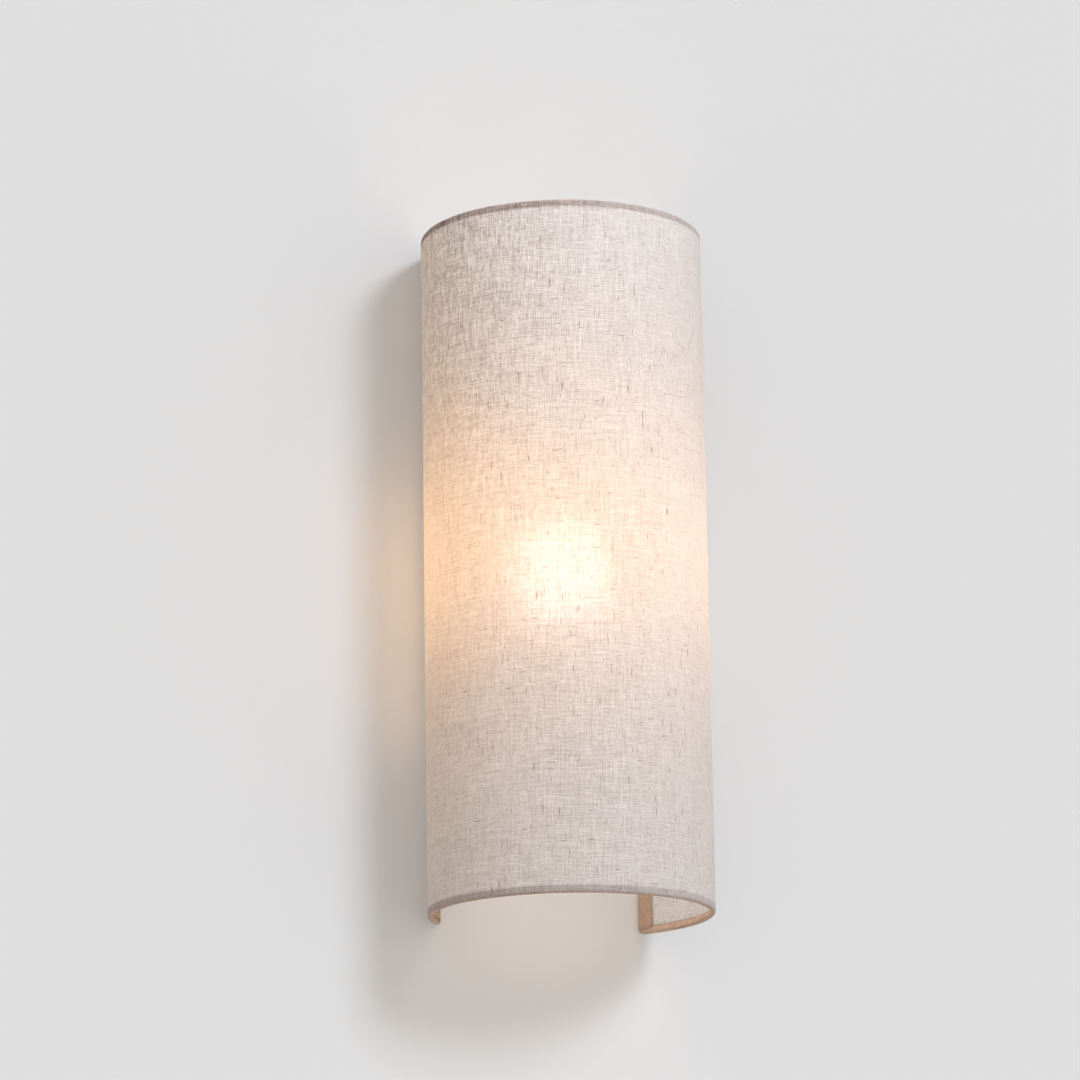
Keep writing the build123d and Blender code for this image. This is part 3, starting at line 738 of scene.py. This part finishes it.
# --- The shade: one piece of slubbed linen in plain weave, bent round the drum.
# It is folded in over the wires along all four sides and glued down inside,
# and the crossbars come out through slots in the two upright folds.
drum_low, drum_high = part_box("shade_fabric")
drum_radius = (drum_high[0] - drum_low[0]) / 2
drum_axis_y = drum_low[1] + drum_radius
fold_round = 0.00185          # half the thickness of a folded edge
leg_depth = 0.0014            # of the glued leg behind the outer face
turn_in = 0.0054              # of the folds over the rings
end_turn_in = 0.0100          # of the folds over the upright wires
corner_round = 0.0020
cloth_step = 0.0032
roll_steps = 10
leg_steps = 5
settle_length = 0.0025        # in which a leg settles on the cloth behind it
cloth_drift = 0.00010
drift_edge = 0.02             # nearer to an edge than this, the drift dies out
drift_waves = ((31, 17, 0.0), (53, -29, 1.3), (11, 97, 0.4))
leg_width_drift = 0.00055
ring_drift_rates = (3, 2)     # a leg's width drifts faster than the cloth
end_drift_rate, end_drift_layer = 3, 0.1

end_y = drum_high[1] - fold_round
end_turn = math.pi - math.acos((end_y - drum_axis_y) / (drum_radius - fold_round))
half_width = drum_radius * end_turn
low_z = drum_low[2] + fold_round
high_z = drum_high[2] - fold_round
middle_z = (low_z + high_z) / 2
inner_width = half_width - corner_round
inner_height = (high_z - low_z) / 2 - corner_round
bar_low, bar_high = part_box("upper_crossbar")
lower_bar_low, lower_bar_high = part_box("lower_crossbar")
bar_room = 0.0003
slot_row = roll_steps * 0.55  # the row of a fold where the slots start
slot_side = 0.05              # the slots are further out than this
slot_reach = 0.004            # and this near to the wall's end of the cloth
hair = 1e-5


def on_drum(s, z, depth):
    """The place s along the cloth from its middle, at height z, that far in."""
    turn = s / drum_radius
    radius = drum_radius - depth
    return Vector((radius * math.sin(turn), drum_axis_y - radius * math.cos(turn), z))


def stops(*marks):
    """Even steps of about cloth_step from each mark to the next."""
    places = [marks[0]]
    for start, end in zip(marks, marks[1:]):
        count = max(1, round((end - start) / cloth_step))
        places += [start + (end - start) * (k + 1) / count for k in range(count)]
    return places


def corner_spread(a, b):
    """A place in a square made one in a quarter of a disc."""
    if a == 0 and b == 0:
        return 0.0, 0.0
    if a >= b:
        turn = math.pi / 4 * b / a
        return a * math.cos(turn), a * math.sin(turn)
    turn = math.pi / 2 - math.pi / 4 * a / b
    return b * math.cos(turn), b * math.sin(turn)


def drift(s, z):
    """A slow unevenness of the cloth, from -1 to 1."""
    return sum(math.sin(a * s + b * z + c) for a, b, c in drift_waves) / 3


def flat_place(s, z):
    """The same place with the cloth's four corners rounded."""
    past_s = max(abs(s) - inner_width, 0.0) / corner_round
    past_z = max(abs(z - middle_z) - inner_height, 0.0) / corner_round
    if past_s == 0 or past_z == 0:
        return s, z
    past_s, past_z = corner_spread(past_s, past_z)
    s = math.copysign(inner_width + corner_round * past_s, s)
    rise = math.copysign(inner_height + corner_round * past_z, z - middle_z)
    return s, middle_z + rise


cloth = bmesh.new()
weave_map = cloth.loops.layers.uv.new("weave")
flat_of = {}


def cloth_point(place, flat):
    """A point of the cloth, which remembers where it is when laid flat."""
    vertex = cloth.verts.new(place)
    flat_of[vertex] = flat
    return vertex


def cloth_face(*corners):
    """A smooth face of the cloth, mapped as it lies flat."""
    face = cloth.faces.new(corners)
    face.smooth = True
    for loop in face.loops:
        loop[weave_map].uv = flat_of[loop.vert]


across_stops = stops(
    -half_width, -half_width + corner_round, half_width - corner_round, half_width
)
height_stops = stops(
    low_z, low_z + corner_round,
    lower_bar_low[2] - bar_room, lower_bar_high[2] + bar_room,
    bar_low[2] - bar_room, bar_high[2] + bar_room,
    high_z - corner_round, high_z,
)
face_rows = []
for z in height_stops:
    row = []
    for s in across_stops:
        flat = flat_place(s, z)
        edge = min(half_width - abs(flat[0]), flat[1] - low_z, high_z - flat[1])
        slack = cloth_drift * drift(*flat) * min(edge / drift_edge, 1.0)
        row.append(cloth_point(on_drum(*flat, cloth_drift + slack), flat))
    face_rows.append(row)
for below, above in zip(face_rows, face_rows[1:]):
    for k in range(len(below) - 1):
        cloth_face(below[k], below[k + 1], above[k + 1], above[k])

rim = (
    [(vertex, (0, -1)) for vertex in face_rows[0][:-1]]
    + [(row[-1], (1, 0)) for row in face_rows[:-1]]
    + [(vertex, (0, 1)) for vertex in reversed(face_rows[-1][1:])]
    + [(row[0], (-1, 0)) for row in reversed(face_rows[1:])]
)


def rim_way(flat, side):
    """The way out of the cloth at a place on its rim."""
    past_s = max(abs(flat[0]) - inner_width, 0.0)
    past_z = max(abs(flat[1] - middle_z) - inner_height, 0.0)
    if past_s > 0 and past_z > 0:
        return Vector((
            math.copysign(past_s, flat[0]), math.copysign(past_z, flat[1] - middle_z)
        )).normalized()
    return Vector(side)


def leg_end(flat):
    """Where the folded leg that starts at that place on the rim ends."""
    ring_drift = drift(flat[0] * ring_drift_rates[0], flat[1] * ring_drift_rates[1])
    end_drift = drift(flat[1] * end_drift_rate, end_drift_layer)
    width = turn_in - fold_round + leg_width_drift * ring_drift
    end_width = end_turn_in - fold_round + leg_width_drift * end_drift
    s = max(-half_width + end_width, min(half_width - end_width, flat[0]))
    z = max(low_z + width, min(high_z - width, flat[1]))
    return s, z


strips = []
for vertex, side in rim:
    flat = flat_of[vertex]
    way = rim_way(flat, side)
    strip = [vertex]
    for step in range(1, roll_steps + 1):
        turn = math.pi * step / roll_steps
        s = flat[0] + way.x * fold_round * math.sin(turn)
        z = flat[1] + way.y * fold_round * math.sin(turn)
        depth = cloth_drift + fold_round * (1 - math.cos(turn))
        along = fold_round * turn
        strip.append(cloth_point(
            on_drum(s, z, depth), (flat[0] + way.x * along, flat[1] + way.y * along)
        ))
    end_s, end_z = leg_end(flat)
    reach = math.hypot(end_s - flat[0], end_z - flat[1])
    for step in range(1, leg_steps + 1):
        part = step / leg_steps
        s = flat[0] + (end_s - flat[0]) * part
        z = flat[1] + (end_z - flat[1]) * part
        settled = eased(min(1.0, part * reach / settle_length))
        depth = cloth_drift + 2 * fold_round + (leg_depth - 2 * fold_round) * settled
        along = fold_round * math.pi + reach * part
        strip.append(cloth_point(
            on_drum(s, z, depth), (flat[0] + way.x * along, flat[1] + way.y * along)
        ))
    strips.append(strip)


def beside_bar(strip, row):
    """True where a crossbar passes through the folded leg."""
    place = strip[row].co
    if row < slot_row or abs(place.x) < slot_side:
        return False
    if abs(strip[0].co.y - end_y) > slot_reach:
        return False
    room = bar_room + hair
    return any(
        low[2] - room <= flat_of[strip[0]][1] <= high[2] + room
        for low, high in ((bar_low, bar_high), (lower_bar_low, lower_bar_high))
    )


for here, there in zip(strips, strips[1:] + strips[:1]):
    for row in range(len(here) - 1):
        if not (beside_bar(here, row) and beside_bar(there, row)):
            cloth_face(here[row], here[row + 1], there[row + 1], there[row])

loose = [vertex for vertex in cloth.verts if not vertex.link_faces]
bmesh.ops.delete(cloth, geom=loose, context="VERTS")
cloth.normal_update()

# The weave: threads 0.8 mm apart that wander and vary in tone, now long, now
# short, with thick slubs here and there. Rates are changes to the centimetre.
thread_pitch = 0.00080
thread_sway = 0.0014
thread_apart = 3.7            # so that no two threads vary together
long_warp_rate, long_weft_rate = 0.5, 0.7
short_rate = 2.6
patch_rate = 0.5
patch_from, patch_to = 0.35, 0.65
long_share, short_share = 0.60, 0.40
pair_share, weft_pair_share = 0.045, 0.7
# The crowns' share is painted light and shade on the round threads.
crown_middle, crown_shading_share = 0.45, 0.16
plain_tone = 0.5
# These spans and gains shape a painted light on the weave: crisp where the light rakes
# it at the top left, even where the key light falls flat on the right.
lit_right_span = (-0.035, 0.085)  # along the cloth, where the weave turns even
raking_left_span = (-0.02, -0.10)    # along it and up it, where the weave turns crisp
raking_upper_part = (0.02, 0.17)
raking_gain, lit_side_flattening = 1.05, 0.42
line_rate, raking_line_gain = 1.4, 0.9
slub_thinness = 0.75
warp_slub_rate, weft_slub_rate = 1.05, 1.2
warp_slubs, weft_slubs = (0.675, 0.81), (0.685, 0.82)
slub_lift, pair_lift = 0.8, 0.35
# The hem band is painted shade: darker where a folded leg lies behind the outer face,
# more at the top and to the left.
hem_height = 0.0048
hem_fray = 0.0012
hem_soft = 0.0009
ring_leg = (-0.0007, 0.0004)  # past the rim, where the folded leg starts
end_leg = (-0.0009, 0.0003)
middle_soft = 0.01
lower_hem_shade, upper_hem_shade_more = 0.7, 0.3
hem_shade_middle, hem_shade_leftward = 0.72, 2.4


def feed(tree, value, socket):
    """Give a socket a plain value, or link another socket to it."""
    if isinstance(value, bpy.types.NodeSocket):
        tree.links.new(value, socket)
    else:
        socket.default_value = value


def weave_group():
    """A shader group: plain weave with uneven threads, slubs, fold masks, and masks
    for the painted shade of the hems and the lit side.
    """
    floats = ("Pitch", "Half Width", "Middle", "Half Height", "Hem Shade")
    masks = ("Tone", "Slub", "Height", "Hem Shade", "Leg", "Side")
    group, given, result = new_group(
        "linen_weave", "ShaderNodeTree",
        inputs=[("Vector", "Vector")] + [(name, "Float") for name in floats],
        outputs=[(name, "Float") for name in masks],
    )

    def calc(operation, *values):
        node = add(group, "ShaderNodeMath", operation=operation)
        for slot, value in enumerate(values):
            feed(group, value, node.inputs[slot])
        return node.outputs[0]

    def times(a, b):
        return calc("MULTIPLY", a, b)

    def plus(a, b):
        return calc("ADD", a, b)

    def minus(a, b):
        return calc("SUBTRACT", a, b)

    def noise(x, y, layer, detail=1.0):
        place = add(group, "ShaderNodeCombineXYZ")
        for slot, value in enumerate((x, y, layer)):
            feed(group, value, place.inputs[slot])
        texture = add(group, "ShaderNodeTexNoise", {"Scale": 1.0, "Detail": detail})
        join(group, (place, 0, texture, "Vector"))
        return texture.outputs["Fac"]

    def ramp(value, low, high, kind="LINEAR"):
        node = add(
            group, "ShaderNodeMapRange", {"From Min": low, "From Max": high},
            interpolation_type=kind,
        )
        feed(group, value, node.inputs["Value"])
        return node.outputs["Result"]

    apart = add(group, "ShaderNodeSeparateXYZ")
    join(group, (given, "Vector", apart, 0))
    u, v = apart.outputs[0], apart.outputs[1]
    u_cm, v_cm = times(u, 100.0), times(v, 100.0)
    sway = times(minus(noise(u_cm, v_cm, layer=0.7, detail=2.0), 0.5), thread_sway)
    warp = calc("DIVIDE", plus(u, sway), given.outputs["Pitch"])
    weft = calc("DIVIDE", minus(v, sway), given.outputs["Pitch"])

    # Threads are round, and each goes over its neighbours and under in turn.
    warp_wave = calc("SINE", times(warp, math.pi))
    weft_wave = calc("SINE", times(weft, math.pi))
    warp_round = calc("ABSOLUTE", warp_wave)
    weft_round = calc("ABSOLUTE", weft_wave)
    over = calc("FLOORED_MODULO", plus(calc("FLOOR", warp), calc("FLOOR", weft)), 2.0)
    under = minus(1.0, over)
    warp_top = times(calc("SQRT", weft_round), warp_round)
    weft_top = times(calc("SQRT", warp_round), weft_round)
    crowns = plus(times(warp_top, over), times(weft_top, under))

    # Tone: long and short unevenness along each thread, threads that lie in pairs in
    # patches, and the crowns themselves, which paint light on the round tops of the
    # threads and shade between them.
    warp_thread = times(calc("FLOOR", warp), thread_apart)
    weft_thread = times(calc("FLOOR", weft), thread_apart)
    long_warp = noise(warp_thread, times(v_cm, long_warp_rate), layer=3.1, detail=2.0)
    long_weft = noise(times(u_cm, long_weft_rate), weft_thread, layer=7.7, detail=2.0)
    short_warp = noise(warp_thread, times(v_cm, short_rate), layer=21.0)
    short_weft = noise(times(u_cm, short_rate), weft_thread, layer=27.0)
    long_tone = times(plus(long_warp, long_weft), 0.5)
    short_tone = plus(times(short_warp, over), times(short_weft, under))
    patches = noise(u_cm, times(v_cm, patch_rate), layer=40.0, detail=2.0)
    patches = ramp(patches, patch_from, patch_to)
    weft_pair = times(weft_wave, minus(1.0, patches))
    pairs = plus(times(warp_wave, patches), times(weft_pair, weft_pair_share))
    tone = plus(times(long_tone, long_share), times(short_tone, short_share))
    tone = plus(tone, times(pairs, pair_share))
    tone = plus(tone, times(minus(crowns, crown_middle), crown_shading_share))

    # The weave's contrast is painted light: crisp at the top left, where the light
    # rakes it, with upright lines, and even on the right, where the key light falls
    # flat.
    from_middle = minus(v, given.outputs["Middle"])
    side = ramp(u, *lit_right_span, "SMOOTHSTEP")
    raking_corner = times(ramp(from_middle, *raking_upper_part), ramp(u, *raking_left_span))
    painted_contrast = plus(minus(times(raking_corner, raking_gain), times(side, lit_side_flattening)), 1.0)
    tone = plus(plain_tone, times(minus(tone, plain_tone), painted_contrast))
    lines = minus(noise(warp_thread, times(v_cm, line_rate), layer=33.0), 0.5)
    tone = plus(tone, times(times(lines, raking_corner), raking_line_gain))

    warp_slub = noise(
        times(warp, slub_thinness), times(v_cm, warp_slub_rate), layer=11.3
    )
    weft_slub = noise(
        times(u_cm, weft_slub_rate), times(weft, slub_thinness), layer=15.9
    )
    slub = calc("MAXIMUM", ramp(warp_slub, *warp_slubs), ramp(weft_slub, *weft_slubs))

    # The legs are the cloth past its rim. The hems are painted darker, a painted shade
    # where a leg lies behind and holds back the lamp's light, most of all towards the
    # left and the top.
    frayed = times(minus(noise(u_cm, v_cm, layer=50.0, detail=2.0), 0.5), hem_fray)
    past_end = minus(calc("ABSOLUTE", u), given.outputs["Half Width"])
    past_top = minus(calc("ABSOLUTE", from_middle), given.outputs["Half Height"])
    leg = calc(
        "MAXIMUM", ramp(past_top, *ring_leg, "SMOOTHSTEP"),
        ramp(past_end, *end_leg, "SMOOTHSTEP"),
    )
    past_hem = plus(plus(past_top, given.outputs["Hem Shade"]), frayed)
    hem_shade = ramp(past_hem, -hem_soft, hem_soft, "SMOOTHSTEP")
    hem_shade_upward = ramp(from_middle, -middle_soft, middle_soft)
    hem_shade_upward = plus(times(hem_shade_upward, upper_hem_shade_more), lower_hem_shade)
    shade_leftward = calc("MINIMUM", minus(hem_shade_middle, times(u, hem_shade_leftward)), 1.0)
    hem_shade = times(hem_shade, times(hem_shade_upward, shade_leftward))

    height = plus(crowns, times(plus(slub, tone), slub_lift))
    height = plus(height, times(pairs, pair_lift))
    for name, value in zip(masks, (tone, slub, height, hem_shade, leg, side)):
        feed(group, value, result.inputs[name])
    return group


# Its colours: of the cloth in the room's light, of the lamp's light that the
# threads spread, and of the little that comes straight through the gaps.
linen_roughness = 0.86
linen_specular = 0.25
linen_sheen = 0.10
sheen_roughness = 0.5
weave_depth = 0.00020
pale_linen = (0.835, 0.805, 0.80, 1.0)
dark_linen = (0.43, 0.38, 0.355, 1.0)
slub_linen = (0.31, 0.21, 0.15, 1.0)
# The hem colours are painted shade, for the lamp's light that the folded legs hold
# back.
hem_shade_pale = (0.55, 0.44, 0.39, 1.0)
hem_shade_dark = (0.13, 0.085, 0.065, 1.0)
leg_pale = (0.90, 0.66, 0.50, 1.0)
leg_dark = (0.24, 0.145, 0.09, 1.0)
inner_linen = (0.12, 0.07, 0.045, 1.0)
pale_glow = (1.0, 0.62, 0.22, 1.0)
dark_glow = (0.50, 0.24, 0.06, 1.0)
slub_glow = (0.26, 0.08, 0.015, 1.0)
# The paler glow on the right is painted light, for the white key light that falls on
# that side.
lit_side_glow = (0.80, 0.62, 0.40, 1.0)
leg_glow = (0.28, 0.125, 0.05, 1.0)
pale_clear = (1.0, 0.98, 0.98, 1.0)
dark_clear = (0.22, 0.11, 0.05, 1.0)
slub_clear = (0.08, 0.03, 0.01, 1.0)
leg_clear = (0.05, 0.02, 0.01, 1.0)
glow_share = 0.127
clear_share = 0.0175
clear_bend = 0.86
clear_roughness = 0.95
dark_tone = (0.26, 0.36)      # the tone of dark threads, outside and inside
pale_tone = (0.74, 0.47)      # and of pale ones
closed_tone, open_tone = 0.40, 0.58

linen = new_material("linen", pale_linen[:3], linen_roughness)
linen_tree, shader, output = sockets(linen)
shader.inputs["Specular IOR Level"].default_value = linen_specular
shader.inputs["Sheen Weight"].default_value = linen_sheen
shader.inputs["Sheen Roughness"].default_value = sheen_roughness
own_map = add(linen_tree, "ShaderNodeUVMap", uv_map="weave")
weave = add(linen_tree, "ShaderNodeGroup", node_tree=weave_group())
for socket, value in (
    ("Pitch", thread_pitch), ("Half Width", half_width + fold_round),
    ("Middle", middle_z), ("Half Height", (high_z - low_z) / 2 + fold_round),
    ("Hem Shade", hem_height),
):
    weave.inputs[socket].default_value = value
facing = add(linen_tree, "ShaderNodeNewGeometry")
contrast = add(linen_tree, "ShaderNodeMapRange")
for socket, (outside, inside) in (("From Min", dark_tone), ("From Max", pale_tone)):
    limit = add(
        linen_tree, "ShaderNodeMapRange", {"To Min": outside, "To Max": inside}
    )
    join(
        linen_tree,
        (facing, "Backfacing", limit, "Value"),
        (limit, "Result", contrast, socket),
    )
gaps = add(
    linen_tree, "ShaderNodeMapRange", {"From Min": closed_tone, "From Max": open_tone}
)
join(
    linen_tree,
    (own_map, "UV", weave, "Vector"),
    (weave, "Tone", contrast, "Value"),
    (weave, "Tone", gaps, "Value"),
)


def blend(below, above, share):
    """One colour over another, by a mask."""
    node = add(linen_tree, "ShaderNodeMix", data_type="RGBA")
    for socket, value in (("A", below), ("B", above), ("Factor", share)):
        feed(linen_tree, value, node.inputs[socket])
    return node.outputs["Result"]


def toned(dark, light, slub, hem_shade, leg, spread=contrast):
    """The cloth's colour, from dark to light threads, with slubs, painted shade at the
    hems, and folds.
    """
    threads = blend(dark, light, spread.outputs["Result"])
    hem_shaded = blend(threads, hem_shade, weave.outputs["Hem Shade"])
    folded = blend(hem_shaded, leg, weave.outputs["Leg"])
    return blend(folded, slub, weave.outputs["Slub"])


thread_dark = blend(dark_linen, inner_linen, facing.outputs["Backfacing"])
# Paler towards the right: a painted light for the key light there.
thread_glow_lit_side = blend(pale_glow, lit_side_glow, weave.outputs["Side"])
hem_shaded_linen = blend(hem_shade_dark, hem_shade_pale, contrast.outputs["Result"])
leg_linen = blend(leg_dark, leg_pale, contrast.outputs["Result"])
cloth_colour = toned(thread_dark, pale_linen, slub_linen, hem_shaded_linen, leg_linen)
glow_colour = toned(dark_glow, thread_glow_lit_side, slub_glow, leg_glow, leg_glow)
clear_colour = toned(dark_clear, pale_clear, slub_clear, leg_clear, leg_clear, gaps)
bump = add(linen_tree, "ShaderNodeBump", {"Distance": weave_depth, "Strength": 1.0})
through = add(linen_tree, "ShaderNodeBsdfTranslucent")
straight = add(
    linen_tree, "ShaderNodeBsdfRefraction",
    {"IOR": clear_bend, "Roughness": clear_roughness},
)
lit = add(linen_tree, "ShaderNodeMixShader", {"Fac": glow_share})
whole = add(linen_tree, "ShaderNodeMixShader", {"Fac": clear_share})
feed(linen_tree, cloth_colour, shader.inputs["Base Color"])
feed(linen_tree, glow_colour, through.inputs["Color"])
feed(linen_tree, clear_colour, straight.inputs["Color"])
join(
    linen_tree,
    (weave, "Height", bump, "Height"),
    (bump, "Normal", shader, "Normal"),
    (shader, "BSDF", lit, 1),
    (through, "BSDF", lit, 2),
    (lit, "Shader", whole, 1),
    (straight, "BSDF", whole, 2),
    (whole, "Shader", output, "Surface"),
)

linen_shade = finished("linen_shade", cloth, linen)
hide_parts("shade_fabric")
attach(linen_shade, "shade")
